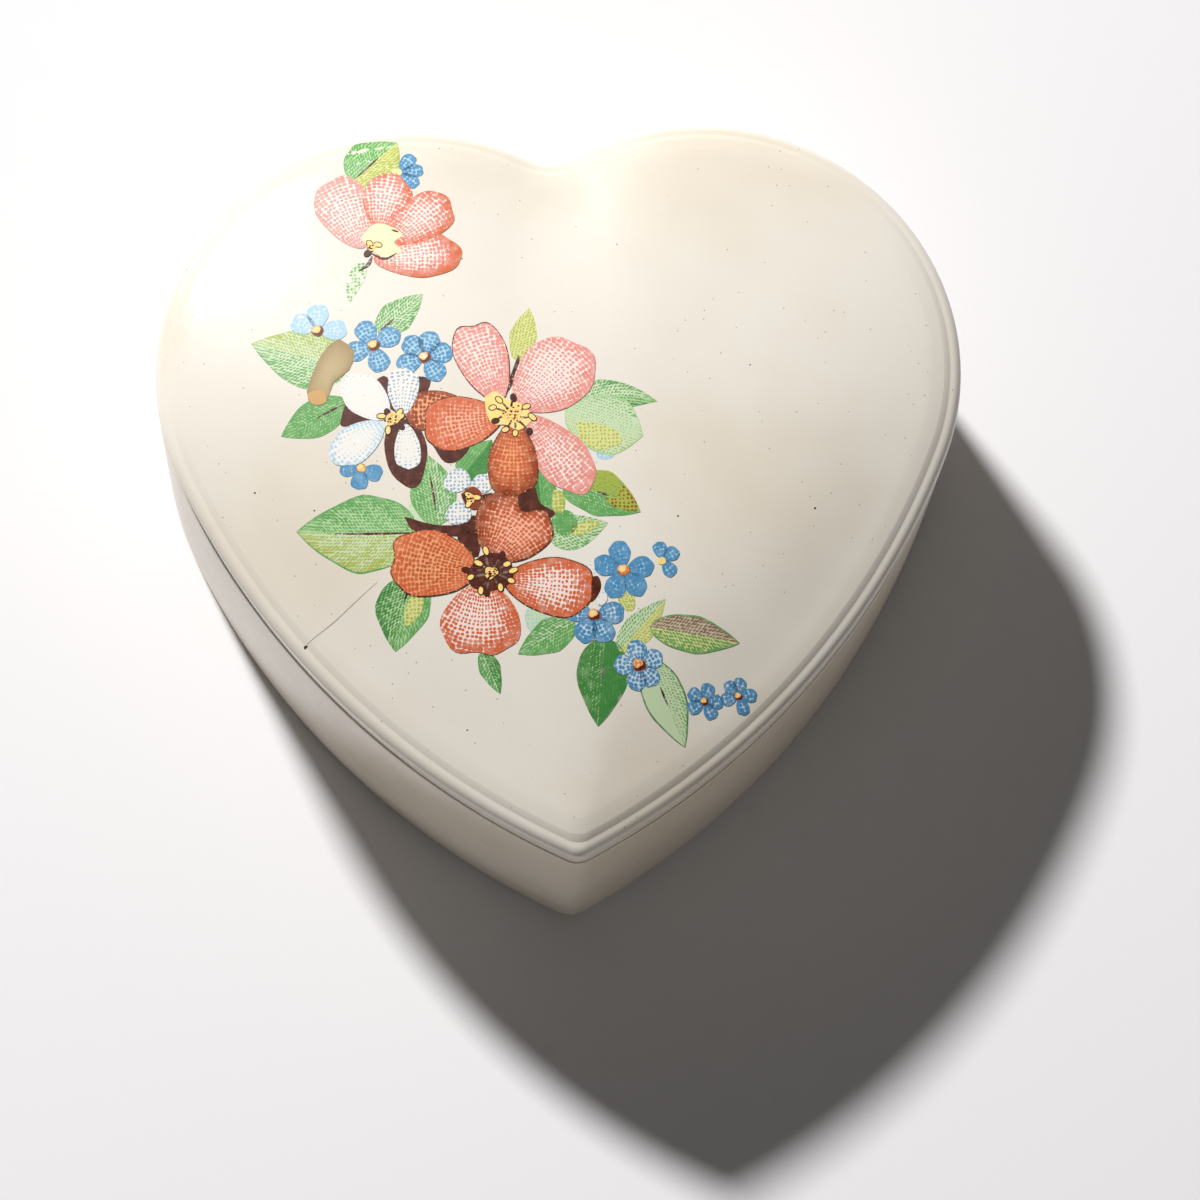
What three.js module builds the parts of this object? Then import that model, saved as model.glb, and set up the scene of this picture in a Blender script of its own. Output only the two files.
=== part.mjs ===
// Heart-shaped ceramic trinket box: an open base and a lift-off domed lid.
// Millimetres, +Z up. The tip of the heart points to -Y, and the box stands on z = 0.
import * as THREE from 'three';

// The rim outline, seen from above. One half is a lobe arc that runs into a long side arc,
// closed by a small arc round the tip and a small arc in the notch between the lobes.
const HALF_WIDTH = 54;
const LOBE_X = 19.5;
const SIDE_RADIUS = 106;
const SIDE_START = THREE.MathUtils.degToRad(-22.5);
const NOTCH_RADIUS = 7.2;
const TIP_RADIUS = { rim: 2.2, seam: 3.2, wall: 3.6, floor: 5 };

// Heights.
const FOOT_RECESS = 1.4;
const FLOOR_TOP = 5;
const PARTING = 33;
const PARTING_GAP = 0.3;
const RIM_TOP = 38.4;
const SHOULDER_RISE = 0.18;
const DOME_RISE = 5.7;
const FLANGE_DEPTH = 4;

// Insets and thicknesses, measured inwards from the rim outline.
const WALL = 4;
const OUTER_DRAFT = 1.3;
const INNER_DRAFT = 0.9;
const SEAM_SETBACK = 0.15;
const FOOT_WIDTH = 3.2;
const FLANGE_CLEARANCE = 0.5;
const FLANGE_THICKNESS = 2.2;
const LID_THICKNESS = 3.8;
const COVE_INSET = 1.25;
const SHOULDER_RUN = 3;
const CREST_INSET = COVE_INSET + SHOULDER_RUN;

// Roundings of the moulded edges.
const FOOT_ROUND = 2.4;
const FLOOR_ROUND = 2.8;
const LIP_ROUND = 0.5;
const RIM_FALL = 1.7;
const SEAM_TUCK = 0.35;

// The dome: its slope at the crest, how its height falls off, how much its outline is rounded off between
// the crest and the middle, how soon, and the oval that the outline turns into.
const CREST_SLOPE = 0.33;
const DOME_POWER = 2.2;
const DOME_ROUNDING = { inset: 18, tip: 30, power: 0.85 };
const DOME_OVAL = { x: 50, y: 44 };

// Points along each arc of one half, rings across a flat middle, and ring sizes over and under the dome.
const ARC_STEPS = { tip: 3, side: 9, lobe: 17, notch: 4 };
const CENTRE_RINGS = 3;
const DOME_SHARES = [0.94, 0.86, 0.76, 0.64, 0.5, 0.35, 0.18];
const HOLLOW_SHARES = [0.18, 0.35, 0.48, 0.6, 0.7];

const LOBE_RADIUS = HALF_WIDTH - LOBE_X;
const SIDE_CENTRE_X = LOBE_X - (SIDE_RADIUS - LOBE_RADIUS) * Math.cos(SIDE_START);
const SIDE_CENTRE_RISE = -(SIDE_RADIUS - LOBE_RADIUS) * Math.sin(SIDE_START);
const LOBE_Y = (tipDrop(0, TIP_RADIUS.rim) + TIP_RADIUS.rim - LOBE_RADIUS) / 2;
const SIDE_CENTRE = new THREE.Vector2(SIDE_CENTRE_X, LOBE_Y + SIDE_CENTRE_RISE);
const LOBE_CENTRE = new THREE.Vector2(LOBE_X, LOBE_Y);
const NOTCH_CENTRE = new THREE.Vector2(0, LOBE_Y + Math.sqrt((LOBE_RADIUS + NOTCH_RADIUS) ** 2 - LOBE_X ** 2));

// How far the centre of the tip arc lies below the lobe centres.
function tipDrop(inset, tipRadius) {
  const reach = SIDE_RADIUS - inset - tipRadius;
  return Math.sqrt(reach ** 2 - SIDE_CENTRE_X ** 2) - SIDE_CENTRE_RISE;
}

function arcPoints(centre, radius, from, to, steps) {
  const points = [];
  for (let i = 0; i < steps; i++) {
    const angle = from + ((to - from) * i) / steps;
    points.push(new THREE.Vector2(centre.x + radius * Math.cos(angle), centre.y + radius * Math.sin(angle)));
  }
  return points;
}

// The heart outline at an inset from the rim, anticlockwise from the tip.
function outline(inset, tipRadius) {
  const down = -Math.PI / 2;
  const turn = 2 * Math.PI;
  const tip = new THREE.Vector2(0, LOBE_Y - tipDrop(inset, tipRadius));
  const tipEnd = tip.clone().sub(SIDE_CENTRE).angle() - turn;
  const lobeEnd = NOTCH_CENTRE.clone().sub(LOBE_CENTRE).angle();
  const notchStart = LOBE_CENTRE.clone().sub(NOTCH_CENTRE).angle() - turn;
  const right = [
    ...arcPoints(tip, tipRadius, down, tipEnd, ARC_STEPS.tip),
    ...arcPoints(SIDE_CENTRE, SIDE_RADIUS - inset, tipEnd, SIDE_START, ARC_STEPS.side),
    ...arcPoints(LOBE_CENTRE, LOBE_RADIUS - inset, SIDE_START, lobeEnd, ARC_STEPS.lobe),
    ...arcPoints(NOTCH_CENTRE, NOTCH_RADIUS + inset, notchStart, down, ARC_STEPS.notch),
    new THREE.Vector2(0, NOTCH_CENTRE.y - NOTCH_RADIUS - inset),
  ];
  const left = right.slice(1, -1).reverse().map((p) => new THREE.Vector2(-p.x, p.y));
  return [...right, ...left];
}

// One ring of a surface: an inset outline at a height.
function ring(inset, z, tipRadius) {
  return outline(inset, tipRadius).map((p) => new THREE.Vector3(p.x, p.y, z));
}

// Flat rings that shrink an outline towards the middle.
function centreRings(inset, tipRadius, z) {
  const rings = [];
  for (let i = 1; i < CENTRE_RINGS; i++) {
    const share = 1 - i / CENTRE_RINGS;
    const points = outline(inset, tipRadius);
    rings.push(points.map((p) => new THREE.Vector3(p.x * share, p.y * share, z)));
  }
  return rings;
}

// Height of the lid's edge between the cove and the crest: a soft shoulder that ends at the crest's slope.
function shoulderTop(inset) {
  const run = inset - COVE_INSET;
  return RIM_TOP + SHOULDER_RISE * (1 - (1 - run / SHOULDER_RUN) ** 2) + CREST_SLOPE * run;
}

// Height of the dome where it has shrunk to a share of the crest outline.
function domeTop(share) {
  return shoulderTop(CREST_INSET) + DOME_RISE * (1 - share ** DOME_POWER);
}

// A ring of the dome, lowered by a depth. The outline gets rounder as it shrinks and ends up as an oval.
function domeRing(share, depth) {
  const rounding = (1 - share) ** DOME_ROUNDING.power;
  const inset = CREST_INSET + DOME_ROUNDING.inset * rounding;
  const scale = (share * (HALF_WIDTH - CREST_INSET)) / (HALF_WIDTH - inset);
  const points = outline(inset, TIP_RADIUS.wall + DOME_ROUNDING.tip * rounding);
  const oval = (1 - share ** 2) ** 1.5;
  return points.map((p) => {
    const ovalRadius = share / Math.hypot(p.x / DOME_OVAL.x, p.y / DOME_OVAL.y);
    const size = scale + (ovalRadius - scale) * oval;
    return new THREE.Vector3(p.x * size, p.y * size, domeTop(share) - depth);
  });
}

// A closed body from rings that run from the middle of the underside, outwards, and over the top.
function ringBody(rings, middleBottom, middleTop) {
  const count = rings[0].length;
  const positions = [0, 0, middleBottom];
  rings.forEach((points) => points.forEach((p) => positions.push(p.x, p.y, p.z)));
  positions.push(0, 0, middleTop);
  const last = positions.length / 3 - 1;
  const index = [];
  for (let i = 0; i < count; i++) {
    const next = (i + 1) % count;
    index.push(0, 1 + next, 1 + i);
    for (let r = 0; r < rings.length - 1; r++) {
      const low = 1 + r * count;
      const high = low + count;
      index.push(low + i, low + next, high + next);
      index.push(low + i, high + next, high + i);
    }
    index.push(last - count + i, last - count + next, last);
  }
  const geometry = new THREE.BufferGeometry();
  geometry.setAttribute('position', new THREE.Float32BufferAttribute(positions, 3));
  geometry.setIndex(index);
  geometry.computeVertexNormals();
  return geometry;
}

function ceramic(color, roughness) {
  return new THREE.MeshStandardMaterial({ color, roughness, metalness: 0 });
}

// The base from its recessed underside, round the foot, up the wall, over the lip and down inside.
function makeBase() {
  const outside = (z) => SEAM_SETBACK + OUTER_DRAFT * (1 - z / PARTING);
  const inside = (z) => WALL + INNER_DRAFT * (1 - z / PARTING);
  const foot = outside(0) + FOOT_ROUND;
  const footInside = foot + FOOT_WIDTH;
  const recess = footInside + FOOT_RECESS;
  const floor = inside(FLOOR_TOP) + FLOOR_ROUND;
  const rings = [
    ...centreRings(recess, TIP_RADIUS.floor, FOOT_RECESS).reverse(),
    ring(recess, FOOT_RECESS, TIP_RADIUS.floor),
    ring(footInside, 0, TIP_RADIUS.floor),
    ring(foot, 0, TIP_RADIUS.wall),
    ring(foot - FOOT_ROUND / 2, FOOT_ROUND * 0.13, TIP_RADIUS.wall),
    ring(outside(0) + FOOT_ROUND * 0.13, FOOT_ROUND / 2, TIP_RADIUS.wall),
    ring(outside(FOOT_ROUND), FOOT_ROUND, TIP_RADIUS.wall),
    ring(outside(PARTING / 2), PARTING / 2, TIP_RADIUS.wall),
    ring(outside(PARTING), PARTING - LIP_ROUND, TIP_RADIUS.wall),
    ring(outside(PARTING) + LIP_ROUND, PARTING, TIP_RADIUS.wall),
    ring(WALL - LIP_ROUND, PARTING, TIP_RADIUS.wall),
    ring(WALL, PARTING - LIP_ROUND, TIP_RADIUS.wall),
    ring(inside(FLOOR_TOP), FLOOR_TOP + FLOOR_ROUND, TIP_RADIUS.wall),
    ring(floor - FLOOR_ROUND * 0.7, FLOOR_TOP + FLOOR_ROUND * 0.3, TIP_RADIUS.floor),
    ring(floor, FLOOR_TOP, TIP_RADIUS.floor),
    ...centreRings(floor, TIP_RADIUS.floor, FLOOR_TOP),
  ];
  const mesh = new THREE.Mesh(ringBody(rings, FOOT_RECESS, FLOOR_TOP), ceramic(0xe9e1d3, 0.3));
  mesh.name = 'base';
  return mesh;
}

// The lid from its hollow underside, down and round the locating flange, up the rim and over the dome.
function makeLid() {
  const land = PARTING + PARTING_GAP;
  const flangeEnd = PARTING - FLANGE_DEPTH;
  const flangeOuter = WALL + FLANGE_CLEARANCE;
  const flangeInner = flangeOuter + FLANGE_THICKNESS;
  const hollow = flangeInner + 2;
  const rings = [
    ...HOLLOW_SHARES.map((share) => domeRing(share, LID_THICKNESS)),
    ring(hollow, RIM_TOP - LID_THICKNESS / 2, TIP_RADIUS.floor),
    ring(flangeInner, RIM_TOP - LID_THICKNESS, TIP_RADIUS.wall),
    ring(flangeInner, flangeEnd + LIP_ROUND, TIP_RADIUS.wall),
    ring(flangeInner - LIP_ROUND, flangeEnd, TIP_RADIUS.wall),
    ring(flangeOuter + LIP_ROUND, flangeEnd, TIP_RADIUS.wall),
    ring(flangeOuter, flangeEnd + LIP_ROUND, TIP_RADIUS.wall),
    ring(flangeOuter, land, TIP_RADIUS.wall),
    ring(SEAM_TUCK + LIP_ROUND, land, TIP_RADIUS.seam),
    ring(SEAM_TUCK, land + LIP_ROUND, TIP_RADIUS.seam),
    ring(0, RIM_TOP - RIM_FALL, TIP_RADIUS.rim),
    ring(0.12, RIM_TOP - RIM_FALL * 0.5, TIP_RADIUS.rim),
    ring(0.5, RIM_TOP - RIM_FALL * 0.2, TIP_RADIUS.rim),
    ring(COVE_INSET, RIM_TOP, TIP_RADIUS.seam),
  ];
  for (const along of [0.08, 0.3, 0.6, 1]) {
    const inset = COVE_INSET + along * SHOULDER_RUN;
    rings.push(ring(inset, shoulderTop(inset), TIP_RADIUS.wall));
  }
  rings.push(...DOME_SHARES.map((share) => domeRing(share, 0)));
  const mesh = new THREE.Mesh(ringBody(rings, domeTop(0) - LID_THICKNESS, domeTop(0)), ceramic(0xefe7d8, 0.25));
  mesh.name = 'lid';
  return mesh;
}

const heartBox = new THREE.Group();
heartBox.add(makeBase(), makeLid());
export default heartBox;
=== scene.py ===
"""Heart-shaped ceramic trinket box with a printed floral spray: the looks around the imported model."""
import math

import bpy
import numpy as np
from mathutils import Matrix, Vector
from mathutils.bvhtree import BVHTree


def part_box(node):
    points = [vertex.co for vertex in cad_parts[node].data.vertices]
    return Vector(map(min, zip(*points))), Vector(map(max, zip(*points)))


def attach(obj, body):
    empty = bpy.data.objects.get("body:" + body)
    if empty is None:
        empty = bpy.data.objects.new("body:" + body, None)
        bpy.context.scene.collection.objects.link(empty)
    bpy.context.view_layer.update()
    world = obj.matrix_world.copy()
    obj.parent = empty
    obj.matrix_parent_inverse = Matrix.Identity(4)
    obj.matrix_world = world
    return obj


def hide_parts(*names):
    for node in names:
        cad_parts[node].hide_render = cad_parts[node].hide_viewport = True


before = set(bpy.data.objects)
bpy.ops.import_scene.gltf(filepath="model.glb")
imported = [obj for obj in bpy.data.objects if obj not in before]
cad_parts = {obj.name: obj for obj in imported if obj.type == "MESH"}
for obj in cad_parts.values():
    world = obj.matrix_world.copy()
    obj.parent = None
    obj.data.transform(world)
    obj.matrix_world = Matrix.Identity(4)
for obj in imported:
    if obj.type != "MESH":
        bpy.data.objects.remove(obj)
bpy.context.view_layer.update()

MM = 0.001

# ---------------------------------------------------------------- the heart outline, in mm
LID_LOW, LID_HIGH = (Vector(corner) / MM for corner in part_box("lid"))
HALF_WIDTH = (LID_HIGH.x - LID_LOW.x) / 2
LOBE_X = 19.5
SIDE_RADIUS = 106
SIDE_START = math.radians(-22.5)
NOTCH_RADIUS = 7.2
TIP = {"rim": 2.2, "seam": 3.2, "wall": 3.6, "floor": 5}
ARC_STEPS = {"tip": 8, "side": 30, "lobe": 56, "notch": 12}

LOBE_RADIUS = HALF_WIDTH - LOBE_X
SIDE_X = LOBE_X - (SIDE_RADIUS - LOBE_RADIUS) * math.cos(SIDE_START)
SIDE_RISE = -(SIDE_RADIUS - LOBE_RADIUS) * math.sin(SIDE_START)


def tip_drop(inset, tip_radius):
    """How far the centre of the tip arc lies below the lobe centres."""
    return math.sqrt((SIDE_RADIUS - inset - tip_radius) ** 2 - SIDE_X ** 2) - SIDE_RISE


LOBE_Y = (tip_drop(0, TIP["rim"]) + TIP["rim"] - LOBE_RADIUS) / 2
NOTCH_Y = LOBE_Y + math.sqrt((LOBE_RADIUS + NOTCH_RADIUS) ** 2 - LOBE_X ** 2)


def arc(centre, radius, start, end, steps):
    """Points along an arc, without the one at its end."""
    angles = start + (end - start) * np.arange(steps) / steps
    return np.column_stack([centre[0] + radius * np.cos(angles), centre[1] + radius * np.sin(angles)])


def outline(inset, tip_radius):
    """The heart at an inset from the rim, anticlockwise from the tip, made of tangent arcs."""
    side_centre = (SIDE_X, LOBE_Y + SIDE_RISE)
    tip_y = LOBE_Y - tip_drop(inset, tip_radius)
    tip_end = math.atan2(tip_y - side_centre[1], -SIDE_X)
    lobe_end = math.atan2(NOTCH_Y - LOBE_Y, -LOBE_X)
    notch_start = math.atan2(LOBE_Y - NOTCH_Y, LOBE_X)
    down = -math.pi / 2
    right = np.vstack([
        arc((0, tip_y), tip_radius, down, tip_end, ARC_STEPS["tip"]),
        arc(side_centre, SIDE_RADIUS - inset, tip_end, SIDE_START, ARC_STEPS["side"]),
        arc((LOBE_X, LOBE_Y), LOBE_RADIUS - inset, SIDE_START, lobe_end, ARC_STEPS["lobe"]),
        arc((0, NOTCH_Y), NOTCH_RADIUS + inset, notch_start, down, ARC_STEPS["notch"]),
        [(0, NOTCH_Y - NOTCH_RADIUS - inset)],
    ])
    left = right[1:-1][::-1] * (-1, 1)
    return np.vstack([right, left])


# ---------------------------------------------------------------- profiles, as (inset, z, tip radius)
# The base.
FOOT_RECESS = 1.4
FOOT_SETBACK = 2.4
FOOT_WIDTH = 3.2
FLOOR_TOP = 5
FLOOR_FILLET = 2.8
WALL = 4
OUTER_DRAFT = 1.3
INNER_DRAFT = 0.9
SEAM_SETBACK = 0.15
PARTING = 33

# The lid's seam, flange and hollow.
PARTING_GAP = 0.3
SEAM_TUCK = 0.35
FLANGE_DEPTH = 4
FLANGE_CLEARANCE = 0.5
FLANGE_THICKNESS = 2.2
LID_THICKNESS = 3.8
HOLLOW_SETBACK = 2
HOLLOW_SHARE = 0.7

# The lid's lip, which turns through LIP_TURN radians of an ellipse, and the cove behind it.
RIM_TOP = 38.4
RIM_FALL = 1.7
LIP_TURN = 1.25
COVE_INSET = 1.25
COVE_WIDTH = 0.3
COVE_DEPTH = 0.24

# The shoulder behind the cove, and the dome, which starts at the crest and nears an oval on its way up.
SHOULDER_RUN = 3
SHOULDER_RISE = 0.18
SHOULDER_START = 0.35
CREST_INSET = COVE_INSET + SHOULDER_RUN
CREST_SLOPE = 0.33
DOME_RISE = 5.7
DOME_POWER = 2.2
DOME_ROUNDING = {"inset": 18, "tip": 30, "power": 0.85}
DOME_OVAL = (50, 44)
OVAL_POWER = 1.5

# How finely the bodies are divided.
DOME_RINGS = 44
FLAT_RINGS = 10
LIP_STEPS = 13
SHOULDER_STEPS = 14
FILLET_STEPS = 6
NEARLY_STRAIGHT = math.radians(176)
FILLET_LIMIT = 0.48


def shoulder_top(inset):
    """Height of the lid from the cove to the crest: a soft shoulder that ends at the crest's slope."""
    run = inset - COVE_INSET
    return RIM_TOP + SHOULDER_RISE * (1 - (1 - run / SHOULDER_RUN) ** 2) + CREST_SLOPE * run


def dome_top(share):
    """Height of the dome where it has shrunk to a share of the crest outline."""
    return shoulder_top(CREST_INSET) + DOME_RISE * (1 - share ** DOME_POWER)


def filleted(corners):
    """A profile through corners (inset, z, tip radius, fillet radius), each rounded by its fillet.

    A fillet takes at most FILLET_LIMIT of the line on each side of it.
    """
    profile = [corners[0][:3]]
    for before, corner, after in zip(corners, corners[1:], corners[2:]):
        here = Vector(corner[:2])
        back = Vector(before[:2]) - here
        ahead = Vector(after[:2]) - here
        turn = back.angle(ahead)
        if corner[3] == 0 or turn > NEARLY_STRAIGHT:
            profile.append(corner[:3])
            continue
        reach = min(corner[3] / math.tan(turn / 2), back.length * FILLET_LIMIT, ahead.length * FILLET_LIMIT)
        start = here + back.normalized() * reach
        end = here + ahead.normalized() * reach
        for step in range(FILLET_STEPS + 1):
            t = step / FILLET_STEPS
            point = start * (1 - t) ** 2 + here * (2 * t * (1 - t)) + end * t ** 2
            profile.append((point.x, point.y, corner[2]))
    profile.append(corners[-1][:3])
    return profile


def level(points, z):
    """An outline at a height."""
    return np.column_stack([points, np.full(len(points), z)])


def flat_rings(inset, tip_radius, z):
    """Level rings that shrink an outline, from the middle outwards."""
    points = outline(inset, tip_radius)
    return [level(points * step / FLAT_RINGS, z) for step in range(1, FLAT_RINGS)]


def dome_rings(depth, largest=1.0):
    """Rings of the dome from the middle outwards, lowered by a depth. They go from an oval to the heart."""
    rings = []
    for share in np.linspace(0, largest, DOME_RINGS)[1:-1]:
        rounding = (1 - share) ** DOME_ROUNDING["power"]
        inset = CREST_INSET + DOME_ROUNDING["inset"] * rounding
        scale = share * (HALF_WIDTH - CREST_INSET) / (HALF_WIDTH - inset)
        points = outline(inset, TIP["wall"] + DOME_ROUNDING["tip"] * rounding)
        oval_size = share / np.hypot(points[:, 0] / DOME_OVAL[0], points[:, 1] / DOME_OVAL[1])
        size = scale + (oval_size - scale) * (1 - share ** 2) ** OVAL_POWER
        rings.append(level(points * size[:, None], dome_top(share) - depth))
    return rings


def ring_body(name, under, profile, over, bottom, top):
    """A closed body: the rings under its middle, a profile of outlines, the rings over its middle.

    Both sets of rings run from the middle outwards. bottom and top are the heights of the two middle points.
    """
    side = [level(outline(inset, tip_radius), z) for inset, z, tip_radius in profile]
    rings = [*under, *side, *over[::-1]]
    count = len(rings[0])
    points = np.vstack([[(0, 0, bottom)], *rings, [(0, 0, top)]]) * MM
    last = len(points) - 1
    faces = []
    for i in range(count):
        after = (i + 1) % count
        faces.append((0, 1 + after, 1 + i))
        for r in range(len(rings) - 1):
            low = 1 + r * count
            faces.append((low + i, low + after, low + count + after, low + count + i))
        faces.append((last - count + i, last - count + after, last))
    return new_mesh(name, points.tolist(), faces)


def new_mesh(name, points, faces):
    mesh = bpy.data.meshes.new(name)
    mesh.from_pydata(points, [], faces)
    mesh.shade_smooth()
    mesh.update()
    piece = bpy.data.objects.new(name, mesh)
    bpy.context.scene.collection.objects.link(piece)
    return piece


def make_base():
    """The base: a recessed underside, a foot ring, a drafted wall, a flat lip and the floor."""
    def outside(z):
        return SEAM_SETBACK + OUTER_DRAFT * (1 - z / PARTING)

    def inside(z):
        return WALL + INNER_DRAFT * (1 - z / PARTING)

    foot = outside(0) + FOOT_SETBACK
    recess = foot + FOOT_WIDTH + FOOT_RECESS
    floor = inside(FLOOR_TOP) + FLOOR_FILLET
    corners = [
        (recess + 1, FOOT_RECESS, TIP["floor"], 0),
        (recess, FOOT_RECESS, TIP["floor"], 0.6),
        (foot + FOOT_WIDTH, 0, TIP["floor"], 0.5),
        (foot, 0, TIP["wall"], 0.3),
        (outside(0) + 0.2, 0.25, TIP["wall"], 2.2),
        (outside(8), 8, TIP["wall"], 0),
        (outside(16), 16, TIP["wall"], 0),
        (outside(24), 24, TIP["wall"], 0),
        (outside(PARTING), PARTING, TIP["wall"], 0.45),
        (WALL, PARTING, TIP["wall"], 0.6),
        (inside(24), 24, TIP["wall"], 0),
        (inside(14), 14, TIP["wall"], 0),
        (inside(FLOOR_TOP), FLOOR_TOP, TIP["floor"], FLOOR_FILLET),
        (floor + 1, FLOOR_TOP, TIP["floor"], 0),
    ]
    under = flat_rings(recess + 1, TIP["floor"], FOOT_RECESS)
    over = flat_rings(floor + 1, TIP["floor"], FLOOR_TOP)
    return ring_body("ceramic_base", under, filleted(corners), over, FOOT_RECESS, FLOOR_TOP)


def make_lid():
    """The lid: a hollow underside, the flange, a tucked seam, the lip, the cove, the shoulder, the dome."""
    land = PARTING + PARTING_GAP
    flange_end = PARTING - FLANGE_DEPTH
    flange_outer = WALL + FLANGE_CLEARANCE
    flange_inner = flange_outer + FLANGE_THICKNESS
    hollow = flange_inner + HOLLOW_SETBACK
    corners = [
        (hollow, RIM_TOP - LID_THICKNESS / 2, TIP["floor"], 0),
        (flange_inner, RIM_TOP - LID_THICKNESS, TIP["wall"], 1.5),
        (flange_inner, flange_end, TIP["wall"], 0.7),
        (flange_outer, flange_end, TIP["wall"], 0.7),
        (flange_outer, land, TIP["wall"], 0.4),
        (SEAM_TUCK, land, TIP["seam"], 0.4),
    ]
    # The lip is upright at the side, and still slopes a little outwards where it meets the cove.
    for turn in np.linspace(0, LIP_TURN, LIP_STEPS):
        across = COVE_INSET * (1 - math.cos(turn)) / (1 - math.cos(LIP_TURN))
        rise = (RIM_FALL - COVE_DEPTH) * math.sin(turn) / math.sin(LIP_TURN)
        corners.append((across, RIM_TOP - RIM_FALL + rise, TIP["rim"], 0))
    corners.append((COVE_INSET + COVE_WIDTH, RIM_TOP - COVE_DEPTH * 0.5, TIP["seam"], 0.5))
    for along in np.linspace(SHOULDER_START, 1, SHOULDER_STEPS):
        inset = COVE_INSET + along * SHOULDER_RUN
        corners.append((inset, shoulder_top(inset), TIP["wall"], 0))
    under = dome_rings(LID_THICKNESS, HOLLOW_SHARE)
    over = dome_rings(0)
    return ring_body("ceramic_lid", under, filleted(corners), over, dome_top(0) - LID_THICKNESS, dome_top(0))


# ---------------------------------------------------------------- node materials
class Nodes:
    """A node material with one Principled shader."""

    def __init__(self, name):
        self.material = bpy.data.materials.new(name)
        self.material.use_nodes = True
        self.tree = self.material.node_tree
        self.shader = self.tree.nodes["Principled BSDF"]

    def add(self, kind, inputs=None, **settings):
        node = self.tree.nodes.new(kind)
        for key, value in settings.items():
            setattr(node, key, value)
        for key, value in (inputs or {}).items():
            if isinstance(value, bpy.types.NodeSocket):
                self.tree.links.new(value, node.inputs[key])
            else:
                node.inputs[key].default_value = value
        return node

    def link(self, output, socket):
        self.tree.links.new(output, self.shader.inputs[socket])

    def maths(self, operation, first, second=0.0):
        return self.add("ShaderNodeMath", {0: first, 1: second}, operation=operation).outputs[0]

    def ramp(self, value, low, high, low_out=0.0, high_out=1.0):
        return self.add("ShaderNodeMapRange", {
            "Value": value, "From Min": low, "From Max": high, "To Min": low_out, "To Max": high_out,
        }, interpolation_type="SMOOTHSTEP").outputs[0]

    def mix(self, factor, first, second, blend="MIX"):
        node = self.add("ShaderNodeMix", data_type="RGBA", blend_type=blend)
        for socket, value in ((0, factor), (6, first), (7, second)):
            if isinstance(value, bpy.types.NodeSocket):
                self.tree.links.new(value, node.inputs[socket])
            else:
                node.inputs[socket].default_value = value
        return node.outputs[2]


def rgb(red, green, blue):
    """An sRGB colour of 0-255 values as linear light."""
    def linear(value):
        share = value / 255
        return share / 12.92 if share <= 0.04045 else ((share + 0.055) / 1.055) ** 2.4
    return (linear(red), linear(green), linear(blue), 1)


# The base's cream is darker and warmer than the lid's. This is partly the base glaze's own tone and partly
# painted shade that darkens the base's walls.
BASE_COLOUR_WITH_SHADE = rgb(231, 221, 204)
BASE_SHADE = rgb(216, 201, 179)
LID_COLOUR = rgb(236, 229, 217)
LID_SHADE = rgb(227, 216, 198)
SPECK = rgb(120, 105, 90)
GLAZE_ROUGHNESS = (0.24, 0.27)
GLAZE_IOR = 1.52


def glaze(name, colour, shade, streaks):
    """Cream glaze: slow colour drift, fine mottling, pinholes and wiped streaks round the wall."""
    nodes = Nodes(name)
    place = nodes.add("ShaderNodeTexCoord").outputs["Object"]

    # Slow drift and fine mottling of the colour.
    drift = nodes.add("ShaderNodeTexNoise", {"Vector": place, "Scale": 28.0, "Detail": 3.0}).outputs[0]
    fine = nodes.add("ShaderNodeTexNoise", {"Vector": place, "Scale": 420.0, "Detail": 4.0}).outputs[0]
    tint = nodes.mix(nodes.ramp(drift, 0.35, 0.7), colour, shade)
    tint = nodes.mix(nodes.ramp(fine, 0.5, 0.85, 0, 0.16), tint, shade)

    # Streaks wiped round the wall: noise squeezed along Z.
    flat = nodes.add("ShaderNodeMapping", {"Vector": place, "Scale": (1.0, 1.0, 14.0)}).outputs[0]
    wiped = nodes.add("ShaderNodeTexNoise", {"Vector": flat, "Scale": 55.0, "Detail": 5.0}).outputs[0]
    tint = nodes.mix(nodes.ramp(wiped, 0.5, 0.72, 0, streaks), tint, shade)

    # Pinholes: a dark dot in some of the cells.
    cells = nodes.add("ShaderNodeTexVoronoi", {"Vector": place, "Scale": 700.0})
    chosen = nodes.maths("GREATER_THAN", cells.outputs["Color"], 0.5)
    spot = nodes.maths("MULTIPLY", nodes.ramp(cells.outputs["Distance"], 0.05, 0.09, 1, 0), chosen)
    tint = nodes.mix(nodes.maths("MULTIPLY", spot, 0.65), tint, SPECK)
    nodes.link(tint, "Base Color")

    # A glossy, slightly wavy surface with the pinholes sunk into it.
    nodes.link(nodes.ramp(fine, 0.2, 0.8, *GLAZE_ROUGHNESS), "Roughness")
    wave = nodes.add("ShaderNodeTexNoise", {"Vector": place, "Scale": 160.0, "Detail": 2.0}).outputs[0]
    height = nodes.maths("SUBTRACT", wave, nodes.maths("MULTIPLY", spot, 2.0))
    bump = nodes.add("ShaderNodeBump", {"Height": height, "Strength": 0.03, "Distance": 0.0004}).outputs[0]
    nodes.link(bump, "Normal")
    nodes.shader.inputs["IOR"].default_value = GLAZE_IOR
    return nodes.material


base = make_base()
lid = make_lid()
base.data.materials.append(glaze("cream_glaze_base", BASE_COLOUR_WITH_SHADE, BASE_SHADE, streaks=0.3))
lid.data.materials.append(glaze("cream_glaze_lid", LID_COLOUR, LID_SHADE, streaks=0.1))
for piece, body, slot in ((base, "base", "base_glaze"), (lid, "lid", "lid_glaze")):
    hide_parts(body)
    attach(piece, body)

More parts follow.
